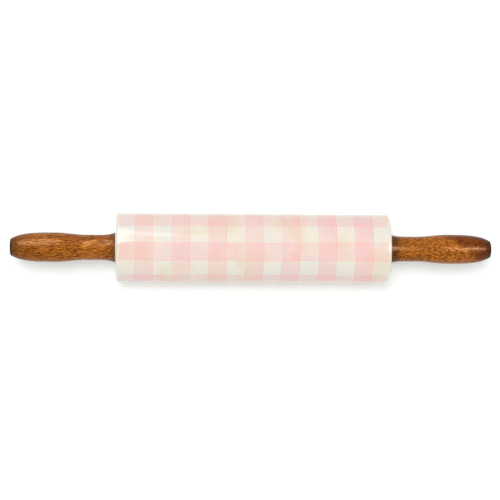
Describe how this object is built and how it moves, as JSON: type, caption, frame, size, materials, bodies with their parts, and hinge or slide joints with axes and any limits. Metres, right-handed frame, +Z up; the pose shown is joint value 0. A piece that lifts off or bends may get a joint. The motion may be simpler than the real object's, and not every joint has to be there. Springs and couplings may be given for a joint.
{
  "type": "rolling pin",
  "caption": "Rolling pin with a hollow glazed ceramic barrel that turns freely on a steel rod between turned wooden handles.",
  "frame": {"origin": "middle of the barrel on the axis it turns on", "axes": "+X along that axis towards the right handle, +Z up"},
  "size_m": [0.4446, 0.0634, 0.0634],
  "materials": {
    "barrel_glaze": "gloss",
    "handle_wood": "satin",
    "bush_nylon": "satin",
    "rod_steel": "satin",
    "insert_brass": "satin"
  },
  "bodies": {
    "handles": {"axle_rod": "rod_steel", "left_handle": "handle_wood", "right_handle": "handle_wood", "left_insert": "insert_brass", "right_insert": "insert_brass", "left_washer": "rod_steel", "right_washer": "rod_steel"},
    "barrel": {"roller_barrel": "barrel_glaze", "left_bush": "bush_nylon", "right_bush": "bush_nylon"}
  },
  "joints": [
    {"name": "barrel_spin", "type": "hinge", "parent": "handles", "child": "barrel", "pos_m": [0, 0, 0], "axis": [1, 0, 0], "continuous": true}
  ]
}
